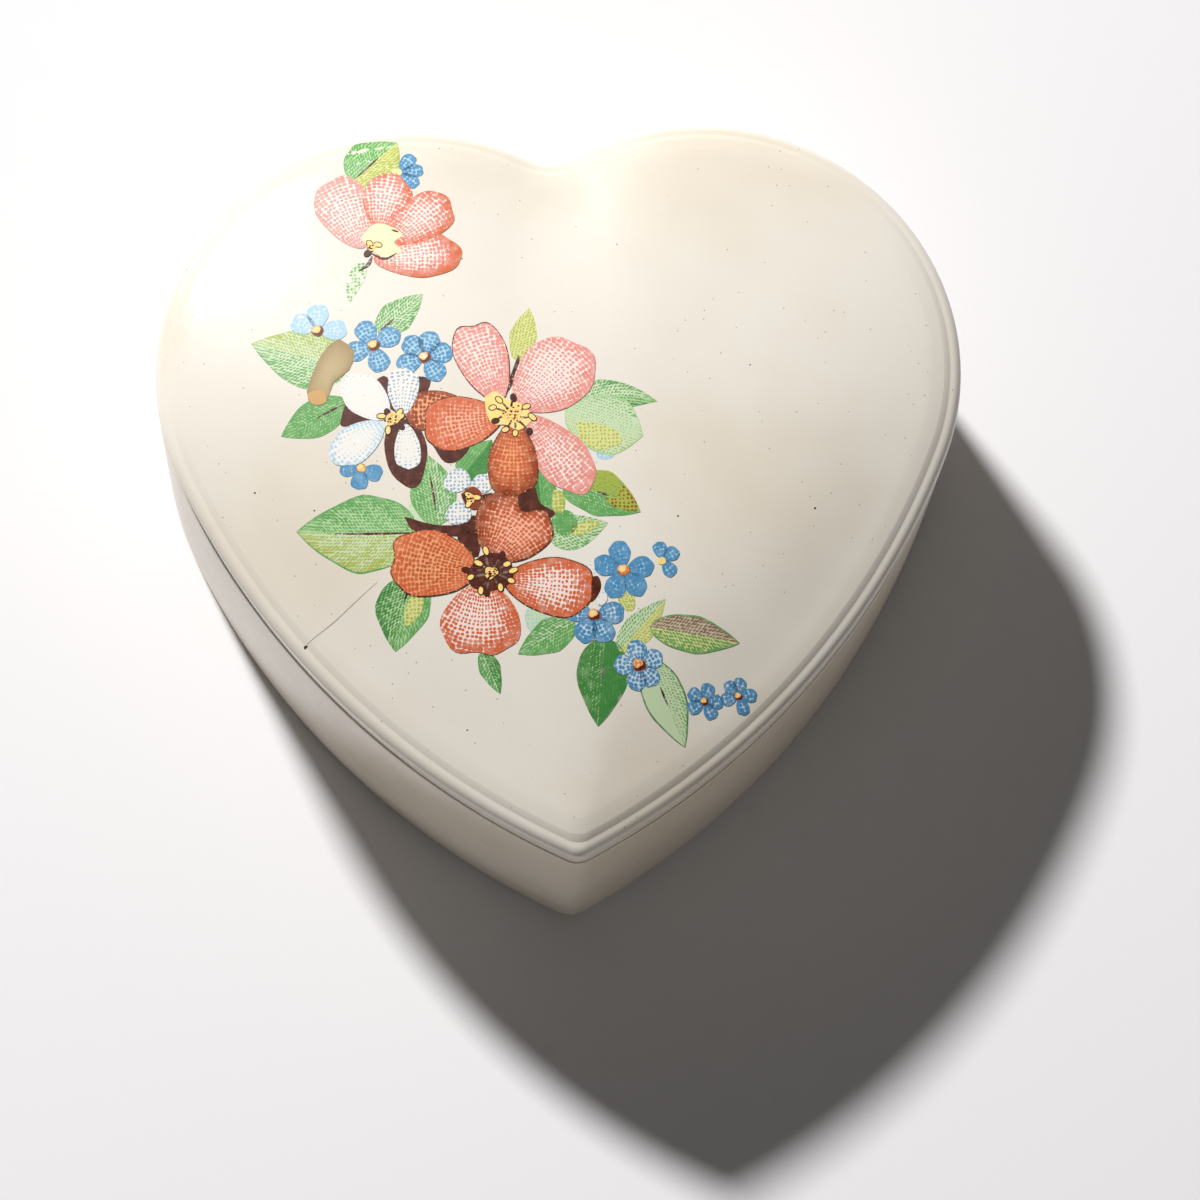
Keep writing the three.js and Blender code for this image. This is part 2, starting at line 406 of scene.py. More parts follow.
# ---------------------------------------------------------------- inks of the printed spray
WHITE = rgb(238, 233, 225)
PINK = rgb(228, 142, 130)
PINK_PAPER = rgb(246, 226, 216)
CORAL = rgb(210, 100, 56)
CORAL_PAPER = rgb(244, 180, 150)
BURNT = rgb(184, 82, 32)
BURNT_PAPER = rgb(238, 162, 112)
RUST = rgb(146, 60, 18)
BROWN = rgb(74, 26, 8)
YELLOW = rgb(252, 220, 132)
PALE_YELLOW = rgb(252, 236, 184)
ORANGE = rgb(230, 142, 74)
GREEN = rgb(96, 160, 86)
DEEP_GREEN = rgb(66, 132, 62)
GREEN_PAPER = rgb(172, 208, 148)
PALE_GREEN = rgb(202, 220, 178)
LIME = rgb(168, 178, 72)
LIME_PAPER = rgb(218, 218, 144)
BLUE = rgb(78, 140, 182)
SKY = rgb(166, 206, 226)
BLUE_PAPER = rgb(204, 221, 232)
SLATE = rgb(136, 168, 192)
MAUVE = rgb(138, 106, 92)
MAUVE_PAPER = rgb(206, 194, 160)
OLIVE = rgb(190, 168, 124)
DARK_OLIVE = rgb(158, 130, 84)
OCHRE = rgb(206, 160, 98)
CRACK = rgb(158, 142, 126)
CHIP = rgb(74, 58, 48)
SPOT = rgb(88, 76, 70)

# The spacing of the stipple's dots in mm. As shares of it, a dot reaches DOT_LEAST where the tone is 0 and
# DOT_GROWTH more where the tone is 1, with a soft edge of DOT_EDGE on each side.
DOT_PITCH = 0.53
LEAF_DOT_PITCH = 0.42
DOT_LEAST = 0.12
DOT_GROWTH = 0.62
DOT_EDGE = 0.09

# How far the first layer of ink lies off the glaze, and each layer off the one before, in mm.
FILM_LIFT = 0.02
LAYER_LIFT = 0.011

# The side of a petal that is shaded in the drawing, and how far a petal's printed rim spreads beyond it.
LEE = np.array([0.75, -0.66])
RIM_SPREAD = 1.035


def ink_material():
    """Stippled ink: dots of one colour over a paler tint, which run together where the tone is full.

    The colours, the tone, the wear and the place in the stipple come from each mesh's own attributes.
    """
    nodes = Nodes("stippled_ink")
    ink = nodes.add("ShaderNodeAttribute", attribute_name="ink").outputs["Color"]
    paper = nodes.add("ShaderNodeAttribute", attribute_name="paper").outputs["Color"]
    tone = nodes.add("ShaderNodeAttribute", attribute_name="tone").outputs["Fac"]
    worn = nodes.add("ShaderNodeAttribute", attribute_name="worn").outputs["Fac"]
    grain = nodes.add("ShaderNodeAttribute", attribute_name="grain").outputs["Vector"]
    place = nodes.add("ShaderNodeTexCoord").outputs["Object"]
    dots = nodes.add(
        "ShaderNodeTexVoronoi", {"Vector": grain, "Scale": 1.0, "Randomness": 0.35}, voronoi_dimensions="2D")
    reach = nodes.maths("ADD", nodes.maths("MULTIPLY", tone, DOT_GROWTH), DOT_LEAST)
    mask = nodes.add("ShaderNodeMapRange", {
        "Value": dots.outputs["Distance"],
        "From Min": nodes.maths("SUBTRACT", reach, DOT_EDGE),
        "From Max": nodes.maths("ADD", reach, DOT_EDGE),
        "To Min": 1.0,
        "To Max": 0.0,
    }, interpolation_type="SMOOTHSTEP").outputs[0]
    colour = nodes.mix(mask, paper, ink)

    # Uneven ink, and flakes where it has worn off.
    cloud = nodes.add("ShaderNodeTexNoise", {"Vector": place, "Scale": 900.0, "Detail": 3.0}).outputs[0]
    colour = nodes.mix(nodes.ramp(cloud, 0.4, 0.8, 0, 0.3), colour, paper)
    flakes = nodes.add("ShaderNodeTexNoise", {"Vector": place, "Scale": 1600.0, "Detail": 4.0}).outputs[0]
    bare = nodes.add("ShaderNodeMapRange", {
        "Value": nodes.maths("ADD", flakes, worn), "From Min": 0.82, "From Max": 0.9,
    }).outputs[0]
    colour = nodes.mix(bare, colour, LID_COLOUR)
    nodes.link(colour, "Base Color")
    nodes.link(nodes.ramp(cloud, 0.3, 0.7, 0.38, 0.5), "Roughness")
    nodes.shader.inputs["Specular IOR Level"].default_value = 0.35
    return nodes.material


INK = ink_material()
bpy.context.view_layer.update()
LID_SURFACE = BVHTree.FromObject(lid, bpy.context.evaluated_depsgraph_get())
ABOVE_LID = 100


def on_lid(x, y, lift):
    """The point of the lid's top over (x, y), lifted off it along its normal; all in mm."""
    place, normal, _, _ = LID_SURFACE.ray_cast(Vector((x, y, ABOVE_LID)) * MM, Vector((0, 0, -1)))
    return place + normal * lift * MM


def turned(points, degrees):
    """Points (x, y) turned anticlockwise about the origin."""
    angle = math.radians(degrees)
    spin = np.array([[math.cos(angle), math.sin(angle)], [-math.sin(angle), math.cos(angle)]])
    return np.asarray(points, float) @ spin


def blend(low, high, share):
    """Colours between low and high for each share."""
    share = np.clip(np.asarray(share, float), 0, 1)[..., None]
    return np.asarray(low) * (1 - share) + np.asarray(high) * share


class Motif:
    """One printed piece: sheets of ink in layers, each a grid of points draped over the lid."""

    def __init__(self, name):
        self.name = name
        self.points = []
        self.faces = []
        self.values = {"ink": [], "paper": [], "tone": [], "worn": [], "grain": []}

    def sheet(self, grid, layer, ink, paper, tone, grain, closed, worn=0.0):
        """A grid of (rows, columns, 2) points in mm, with an ink, paper, tone and grain at each point."""
        rows, columns = grid.shape[:2]
        first = len(self.points)
        lift = FILM_LIFT + LAYER_LIFT * layer
        self.points += [on_lid(x, y, lift) for x, y in grid.reshape(-1, 2)]
        spans = columns if closed else columns - 1
        for row in range(rows - 1):
            for column in range(spans):
                corner = first + row * columns + column
                beside = first + row * columns + (column + 1) % columns
                self.faces.append((corner, beside, beside + columns, corner + columns))
        shape = (rows, columns)
        for key, value, width in (("ink", ink, 4), ("paper", paper, 4), ("grain", grain, 2)):
            spread = np.broadcast_to(np.asarray(value, float), (*shape, width))
            self.values[key].append(spread.reshape(-1, width))
        for key, value in (("tone", tone), ("worn", worn)):
            self.values[key].append(np.broadcast_to(np.asarray(value, float), shape).reshape(-1))

    def finish(self):
        piece = new_mesh(self.name, self.points, self.faces)
        mesh = piece.data
        # The ink faces up, whichever way its edges run.
        if sum(face.normal.z * face.area for face in mesh.polygons) < 0:
            mesh.flip_normals()
        for key in ("ink", "paper"):
            colours = np.vstack(self.values[key]).astype(np.float32)
            mesh.attributes.new(key, "FLOAT_COLOR", "POINT").data.foreach_set("color", colours.ravel())
        for key in ("tone", "worn"):
            amounts = np.concatenate(self.values[key]).astype(np.float32)
            mesh.attributes.new(key, "FLOAT", "POINT").data.foreach_set("value", amounts)
        grain = np.vstack(self.values["grain"])
        grain = np.column_stack([grain, np.zeros(len(grain))]).astype(np.float32)
        mesh.attributes.new("grain", "FLOAT_VECTOR", "POINT").data.foreach_set("vector", grain.ravel())
        mesh.materials.append(INK)
        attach(piece, "lid")
        return piece


# Where the rings of a round patch lie between its centre and its edge.
RING_SHARES = np.array([0.02, 0.22, 0.42, 0.6, 0.75, 0.87, 0.95, 1.0])


def fan(motif, edge, centre, layer, colours, tone=(0.2, 0.9), worn=0.0, root=None, shade=0.0):
    """A round patch of ink from its centre to an edge. The tone grows from the middle to the edge.

    colours are (ink, paper) or (middle ink, edge ink, paper). root is the point that the stipple's arcs run
    round, if it has arcs, and shade darkens the lee side of the patch.
    """
    edge = np.asarray(edge, float)
    centre = np.asarray(centre, float)
    grid = centre + (edge - centre) * RING_SHARES[:, None, None]
    share = np.broadcast_to(RING_SHARES[:, None], grid.shape[:2])
    offset = grid - centre
    size = np.abs(offset).max() + 1e-6
    lee = np.clip((offset @ LEE) / size, -1, 1)
    depth = np.clip(share ** 2 + shade * lee, 0, 1)
    middle_ink, edge_ink, paper = colours if len(colours) == 3 else (colours[0], colours[0], colours[1])
    ink = blend(middle_ink, edge_ink, depth)
    amount = tone[0] + (tone[1] - tone[0]) * depth
    if root is None:
        grain = grid / DOT_PITCH
    else:
        out = grid - root
        radius = np.hypot(out[..., 0], out[..., 1])
        bearing = np.unwrap(np.arctan2(out[..., 1], out[..., 0]), axis=1)
        grain = np.stack([bearing * max(radius.mean(), 1.0), radius], axis=-1) / DOT_PITCH
    motif.sheet(grid, layer, ink, paper, amount, grain, closed=True, worn=worn)


def oval(centre, length, width, degrees=0, count=26, wobble=0.0):
    """The edge of an oval, turned by degrees and made uneven by a wobble."""
    turn = np.linspace(0, 2 * math.pi, count, endpoint=False)
    swell = 1 + wobble * np.sin(3 * turn + centre[0]) + wobble * 0.6 * np.sin(5 * turn + centre[1])
    ring = np.column_stack([np.cos(turn) * length / 2 * swell, np.sin(turn) * width / 2 * swell])
    return turned(ring, degrees) + centre


def petal(motif, base, tip, width, layer, colours, tone, notch=0.0, narrow=0.45, rim=None, worn=0.0,
          shade=0.0):
    """A petal from its base to its tip, with a notch in the end and a printed rim if it has them.

    narrow is how much slimmer it is towards its base, and rim is the ink of its rim.
    """
    base = np.asarray(base, float)
    along = np.asarray(tip, float) - base
    length = math.hypot(*along)
    forward = along / length
    sideways = np.array([-forward[1], forward[0]])
    turn = np.linspace(0, 2 * math.pi, 44, endpoint=False)
    reach = (1 - np.cos(turn)) / 2
    spread = np.sin(turn) * (1 - narrow * (1 - reach) ** 1.3)
    swell = 1 + 0.018 * np.sin(4 * turn + base[0]) + 0.014 * np.sin(7 * turn + tip[0])
    across = spread * width / 2 * swell
    dip = notch * np.exp(-(across / (0.17 * width)) ** 2) * np.clip(-np.cos(turn), 0, 1) ** 2
    edge = base + np.outer(length * (reach * swell - dip), forward) + np.outer(across, sideways)
    centre = base + along * (0.56 - 0.3 * notch)
    if rim is not None:
        rim_edge = centre + (edge - centre) * RIM_SPREAD
        fan(motif, rim_edge, centre, layer - 0.5, (rim, BURNT_PAPER), tone=(0.9, 0.75))
    root = base - forward * length * 0.35
    fan(motif, edge, centre, layer, colours, tone=tone, worn=worn, root=root, shade=shade)


def leaf(motif, base, tip, width, layer, left, right, rib=None, bend=0.0, line=None, worn=0.0,
         tone=(0.55, 0.95), full=0.42):
    """A pointed leaf of two halves with their own (ink, paper), widest at the share full of its length.

    rib is the part of its length that has a midrib and line is the ink of its outline, if it has them.
    """
    base = np.asarray(base, float)
    along = np.asarray(tip, float) - base
    length = math.hypot(*along)
    forward = along / length
    sideways = np.array([-forward[1], forward[0]])
    t = np.linspace(0, 1, 20)
    middle = base + np.outer(t, along) + np.outer(4 * bend * length * t * (1 - t), sideways)
    reach = np.clip(t / full, 0, 1)
    taper = np.clip((t - full) / (1 - full), 0, 1)
    swelling = np.sqrt(np.clip(1 - (1 - reach) ** 2, 0, 1)) * 0.94 + 0.06 * reach
    narrowing = (1 - taper ** 1.7) * (1 - 0.25 * taper * (1 - taper))
    spread = np.where(t < full, swelling, narrowing) * (1 + 0.02 * np.sin(17 * t + base[0]))
    across = np.array([0.0, 0.25, 0.5, 0.72, 0.9, 1.0])
    for side, (ink, paper) in ((1, left), (-1, right)):
        offset = np.outer(spread * width / 2 * side, across)
        grid = middle[:, None, :] + offset[..., None] * sideways
        veins = 0.5 + 0.5 * np.cos(2 * math.pi * (4.2 * t[:, None] - 1.6 * across[None, :]))
        amount = tone[0] + (tone[1] - tone[0]) * (0.55 * across[None, :] ** 2 + 0.45 * veins ** 3)
        slant = t[:, None] * length - across[None, :] * width * 0.3
        grain = np.stack([slant, offset], axis=-1) / LEAF_DOT_PITCH
        motif.sheet(grid, layer, ink, paper, amount, grain, closed=False, worn=worn)
        if line is not None:
            ribbon(motif, grid[:, -1], 0.24, layer + 0.3, line)
    if rib is not None:
        chosen = middle[(t >= rib[0]) & (t <= rib[1])]
        ribbon(motif, chosen, 0.32, layer + 0.5, BROWN, 0.85)


def ribbon(motif, path, width, layer, ink, tone=1.0):
    """A line of ink along a path, tapered at both ends."""
    path = np.asarray(path, float)
    ahead = np.gradient(path, axis=0)
    ahead /= np.hypot(ahead[:, 0], ahead[:, 1])[:, None] + 1e-9
    sideways = np.column_stack([-ahead[:, 1], ahead[:, 0]])
    half = width / 2 * (0.25 + 0.75 * np.sin(np.linspace(0.12, math.pi - 0.12, len(path))))
    grid = np.stack([path - sideways * half[:, None], path + sideways * half[:, None]], axis=1)
    motif.sheet(grid, layer, ink, LID_COLOUR, tone, grid / DOT_PITCH, closed=False)


def curve(*corners, steps=6):
    """A smooth path through the corners."""
    corners = np.asarray(corners, float)
    padded = np.vstack([2 * corners[0] - corners[1], corners, 2 * corners[-1] - corners[-2]])
    path = []
    for a, b, c, d in zip(padded, padded[1:], padded[2:], padded[3:]):
        for t in np.linspace(0, 1, steps, endpoint=False):
            path.append(0.5 * (2 * b + (c - a) * t + (2 * a - 5 * b + 4 * c - d) * t ** 2
                               + (3 * b - a - 3 * c + d) * t ** 3))
    path.append(corners[-1])
    return np.array(path)


def blot(motif, corners, layer, colours, tone=(1.0, 1.0), worn=0.0, steps=4):
    """A patch with a hand-drawn edge through the corners."""
    edge = curve(*corners, corners[0], steps=steps)[:-1]
    fan(motif, edge, edge.mean(axis=0), layer, colours, tone=tone, worn=worn)


def small_flower(motif, centre, bearings, layer, colours, tone, reach=2.6, size=3.5, eye=(YELLOW, BROWN),
                 eye_size=1.5, worn=0.0):
    """A forget-me-not: round petals at the given bearings in degrees, and an eye half ringed in ink."""
    centre = np.asarray(centre, float)
    for bearing in bearings:
        outward = np.array([math.cos(math.radians(bearing)), math.sin(math.radians(bearing))])
        base = centre + outward * reach * 0.16
        tip = centre + outward * (reach + size * 0.36)
        petal(motif, base, tip, size * 0.98, layer, colours, tone=tone, narrow=0.4, worn=worn)
    if eye is None:
        return
    fill, ring = eye
    fan(motif, oval(centre, eye_size * 1.12, eye_size, wobble=0.06), centre, layer + 1, (ring, RUST, ring))
    inner = centre + np.array([-0.12, 0.16]) * eye_size
    fan(motif, oval(inner, eye_size * 0.86, eye_size * 0.72, 20, wobble=0.08), inner, layer + 2,
        (PALE_YELLOW, ORANGE, fill))


def stamens(motif, centre, count, radius, layer, seed, heart):
    """Anthers on short threads round the middle of a blossom, and its dotted heart."""
    draw = np.random.default_rng(seed)
    centre = np.asarray(centre, float)
    for i in range(count):
        bearing = 2 * math.pi * (i + draw.uniform(-0.3, 0.3)) / count
        outward = np.array([math.cos(bearing), math.sin(bearing)])
        end = centre + outward * radius * draw.uniform(0.62, 1.0)
        middle = (centre + end) / 2 + draw.uniform(-0.25, 0.25, 2)
        ribbon(motif, curve(centre, middle, end), 0.3, layer, BROWN)
        turn = math.degrees(bearing) + draw.uniform(-50, 50)
        length = draw.uniform(0.85, 1.25)
        fan(motif, oval(end, length + 0.26, 0.9, turn), end, layer + 0.6, (BROWN, BROWN))
        # Two anthers in three are yellow, and the third is dark.
        if i % 3 != 2:
            fan(motif, oval(end, length, 0.62, turn), end, layer + 1.2, (YELLOW, YELLOW))
    heart_edge = oval(centre, heart * 2, heart * 1.7, 20, wobble=0.12)
    fan(motif, heart_edge, centre, layer + 1.4, (ORANGE, YELLOW, YELLOW))
    for i in range(count * 2):
        spot = centre + draw.normal(0, heart * 0.52, 2)
        fan(motif, oval(spot, 0.3, 0.24, count=8), spot, layer + 2, (BROWN, BROWN))


# The spray itself. Places are (x, y) in mm on the lid and sizes are in mm. Each call also takes the layer of
# its ink, and a higher layer lies over a lower one.
def print_leaves():
    """The leaves, from the top of the spray to its lower end, and the pale washes beside them."""
    green = (GREEN, GREEN_PAPER)
    deep = (DEEP_GREEN, GREEN)
    pale = (GREEN, PALE_GREEN)
    lime = (LIME, LIME_PAPER)
    wash = (PALE_GREEN, PALE_GREEN)

    upper = Motif("print_leaves_upper")
    leaf(upper, (-27.0, 43.2), (-20.6, 49.4), 8.0, 0, green, lime, rib=(0.1, 0.6), full=0.5, tone=(0.4, 0.8))
    leaf(upper, (-24.2, 20.6), (-18.0, 26.0), 4.6, 0, pale, pale, rib=(0.05, 0.42), tone=(0.35, 0.75))
    leaf(upper, (-28.2, 15.6), (-41.1, 20.3), 8.6, 0, pale, (LIME, PALE_GREEN), tone=(0.25, 0.8), worn=0.12)
    leaf(upper, (-28.4, 11.0), (-37.5, 6.9), 5.4, 1, green, green, rib=(0.02, 0.5), tone=(0.62, 0.9),
         full=0.5)
    leaf(upper, (-5.8, 15.6), (-3.9, 23.4), 3.6, 0, lime, lime, tone=(0.3, 0.5), full=0.5)
    tan_patch = [(-29.4, 20.1), (-27.4, 18.2), (-28.2, 15.5), (-30.3, 13.9), (-31.4, 11.1), (-33.2, 11.0),
                 (-33.9, 12.9), (-32.4, 16.8), (-31.0, 19.0)]
    blot(upper, tan_patch, 4, (OLIVE, DARK_OLIVE, OLIVE), steps=2)
    blot(upper, [(-31.7, 13.0), (-31.4, 11.2), (-33.1, 11.0), (-33.8, 12.6)], 5, (OCHRE, OCHRE))
    worn_leaf = [(-26.9, 30.9), (-25.4, 30.8), (-25.6, 28.9), (-27.0, 26.4), (-27.9, 25.4), (-28.2, 28.2)]
    blot(upper, worn_leaf, 0, (GREEN, PALE_GREEN), tone=(0.2, 0.4), worn=0.3)
    upper.finish()

    right = Motif("print_leaves_right")
    leaf(right, (0.2, 7.6), (12.6, 9.4), 5.2, 0, (GREEN, PALE_GREEN), (DEEP_GREEN, GREEN_PAPER), bend=0.14,
         tone=(0.2, 0.8))
    leaf(right, (0.2, 8.2), (10.4, 4.6), 8.2, 1, (GREEN, PALE_GREEN), (LIME, PALE_GREEN), tone=(0.02, 0.4),
         line=GREEN_PAPER, full=0.66)
    blot(right, [(1.6, 6.8), (4.6, 6.4), (7.0, 5.2), (7.4, 3.6), (4.4, 2.8), (2.2, 4.2)], 2,
         (LIME, LIME_PAPER), tone=(0.2, 0.3))
    fan(right, oval((5.4, 2.4), 2.7, 2.0, 10), (5.4, 2.4), 0, (SKY, BLUE_PAPER), tone=(0.5, 0.6))
    leaf(right, (-0.6, -2.0), (9.7, -6.0), 6.4, 2, (LIME, GREEN), (GREEN, GREEN_PAPER), rib=(0.38, 0.62),
         bend=0.06, tone=(0.6, 0.95), full=0.5)
    blot(right, [(7.4, -2.2), (8.4, -3.4), (9.4, -5.7), (6.6, -5.4), (5.0, -4.0), (6.6, -3.8)], 3,
         (RUST, LIME), tone=(0.15, 0.5))
    leaf(right, (-2.6, -9.4), (5.3, -7.4), 4.8, 0, (GREEN, PALE_GREEN), (GREEN, PALE_GREEN), tone=(0.3, 0.6))
    blot(right, [(0.6, -7.7), (2.6, -7.0), (4.2, -7.5), (2.0, -8.9), (0.4, -8.9)], 1, (LIME, LIME_PAPER),
         tone=(0.3, 0.6))
    leaf(right, (-3.3, -6.8), (-4.0, 2.8), 4.6, 1, deep, (GREEN, GREEN_PAPER), tone=(0.75, 0.95))
    fan(right, oval((-0.5, -7.2), 3.4, 3.6, 30), (-0.5, -7.2), 1, (GREEN, GREEN_PAPER), tone=(0.9, 0.7))
    blot(right, [(-1.8, -2.6), (-0.3, -3.2), (-0.6, -5.8), (-2.0, -5.2)], 1.5, (LIME, LIME_PAPER),
         tone=(0.5, 0.7))
    right.finish()

    middle = Motif("print_leaves_middle")
    leaf(middle, (-17.1, -7.0), (-18.3, 3.0), 6.2, 1, (GREEN, GREEN_PAPER), (GREEN, PALE_GREEN),
         rib=(0.18, 0.72), tone=(0.45, 0.8), full=0.5)
    leaf(middle, (-13.9, -0.6), (-9.6, 4.6), 4.6, 1, green, deep, tone=(0.7, 0.9))
    leaf(middle, (-19.8, -7.7), (-35.8, -6.2), 10.4, 0, (LIME, PALE_GREEN), (GREEN, GREEN_PAPER),
         rib=(0.0, 0.72), bend=0.02, tone=(0.3, 0.85), line=GREEN, full=0.45)
    leaf(middle, (-20.6, -13.4), (-23.3, -23.2), 7.4, 0, (GREEN, GREEN_PAPER), (DEEP_GREEN, GREEN_PAPER),
         rib=(0.12, 0.42), bend=-0.04, tone=(0.4, 0.9), full=0.45)
    blot(middle, [(-20.7, -15.5), (-19.4, -16.5), (-19.9, -18.6), (-21.8, -20.0), (-21.9, -17.8)], 0.5,
         (LIME, LIME_PAPER), tone=(0.25, 0.5))
    leaf(middle, (-11.9, -23.9), (-9.7, -29.7), 2.8, 0, (DEEP_GREEN, GREEN_PAPER), (GREEN, PALE_GREEN))
    fan(middle, oval((-18.6, -4.3), 4.6, 4.4, 0), (-18.6, -4.3), 0, wash)
    middle.finish()

    lower = Motif("print_leaves_lower")
    leaf(lower, (0.4, -20.7), (-7.2, -24.6), 4.4, 1, green, pale, line=GREEN, tone=(0.5, 0.95))
    leaf(lower, (6.1, -24.6), (12.5, -17.8), 4.0, 1, (GREEN, PALE_GREEN), lime, tone=(0.2, 0.5))
    leaf(lower, (8.0, -19.4), (6.3, -15.4), 2.2, 0, lime, lime, tone=(0.3, 0.6))
    leaf(lower, (10.3, -21.5), (22.1, -23.4), 4.8, 2, (MAUVE, MAUVE_PAPER), (GREEN, LIME_PAPER), line=GREEN,
         tone=(0.4, 0.7), full=0.5)
    leaf(lower, (4.4, -22.8), (3.0, -34.4), 6.8, 1, deep, (DEEP_GREEN, GREEN_PAPER), rib=(0.28, 0.52),
         tone=(0.72, 0.95), full=0.42, line=DEEP_GREEN)
    leaf(lower, (10.0, -25.8), (14.4, -37.0), 5.6, 1, pale, wash, rib=(0.3, 0.56), tone=(0.1, 0.5),
         line=DEEP_GREEN, full=0.45)
    blot(lower, [(-3.6, -17.6), (-1.4, -19.4), (-2.2, -22.6), (-5.6, -21.6), (-6.0, -19.0)], 0,
         (SKY, PALE_GREEN), tone=(0.2, 0.4), worn=0.1)
    fan(lower, oval((3.4, -13.4), 3.2, 2.4, 40), (3.4, -13.4), 0, (SKY, LID_COLOUR), tone=(0.2, 0.1))
    lower.finish()


def print_ground():
    """Dark brown ink between the blossoms."""
    ground = Motif("print_brown_ground")
    dark = (BROWN, RUST)

    def patch(*corners):
        blot(ground, corners, 3, dark, tone=(1.0, 0.85))

    patch((-25.4, 13.4), (-23.2, 14.2), (-22.0, 9.4), (-23.4, 10.2))
    patch((-28.6, 11.4), (-25.2, 8.3), (-29.2, 7.6), (-29.4, 9.0))
    fan(ground, oval((-21.0, 3.4), 9.6, 5.6, 95, wobble=0.05), (-21.0, 3.4), 3, dark, tone=(1.0, 0.8))
    patch((-20.0, 14.2), (-17.4, 13.4), (-19.4, 9.8), (-20.6, 11.4))
    patch((-17.6, 4.4), (-12.8, 4.0), (-14.0, 2.0), (-16.0, 1.8))
    patch((-9.0, -1.6), (-4.6, -1.8), (-3.6, -4.4), (-1.6, -6.0), (-5.2, -7.2), (-8.4, -5.0))
    patch((-14.0, -6.0), (-11.8, -6.2), (-12.0, -11.4), (-14.6, -9.6))
    patch((-21.6, -5.4), (-20.0, -7.6), (-13.4, -8.6), (-13.0, -7.2), (-17.6, -6.8))
    patch((1.8, -15.2), (3.6, -14.6), (4.0, -16.2), (2.8, -18.0), (1.4, -17.4))
    ribbon(ground, curve((-8.0, 10.4), (-6.4, 13.6), (-5.6, 16.4)), 0.8, 3, BROWN, 0.85)
    ribbon(ground, curve((-9.9, -2.9), (-12.2, -3.6), (-13.4, -2.0)), 0.9, 6, BROWN)
    ribbon(ground, curve((-3.6, 1.6), (-1.4, -1.6), (0.6, -3.0)), 0.5, 3, BROWN, 0.8)
    ground.finish()


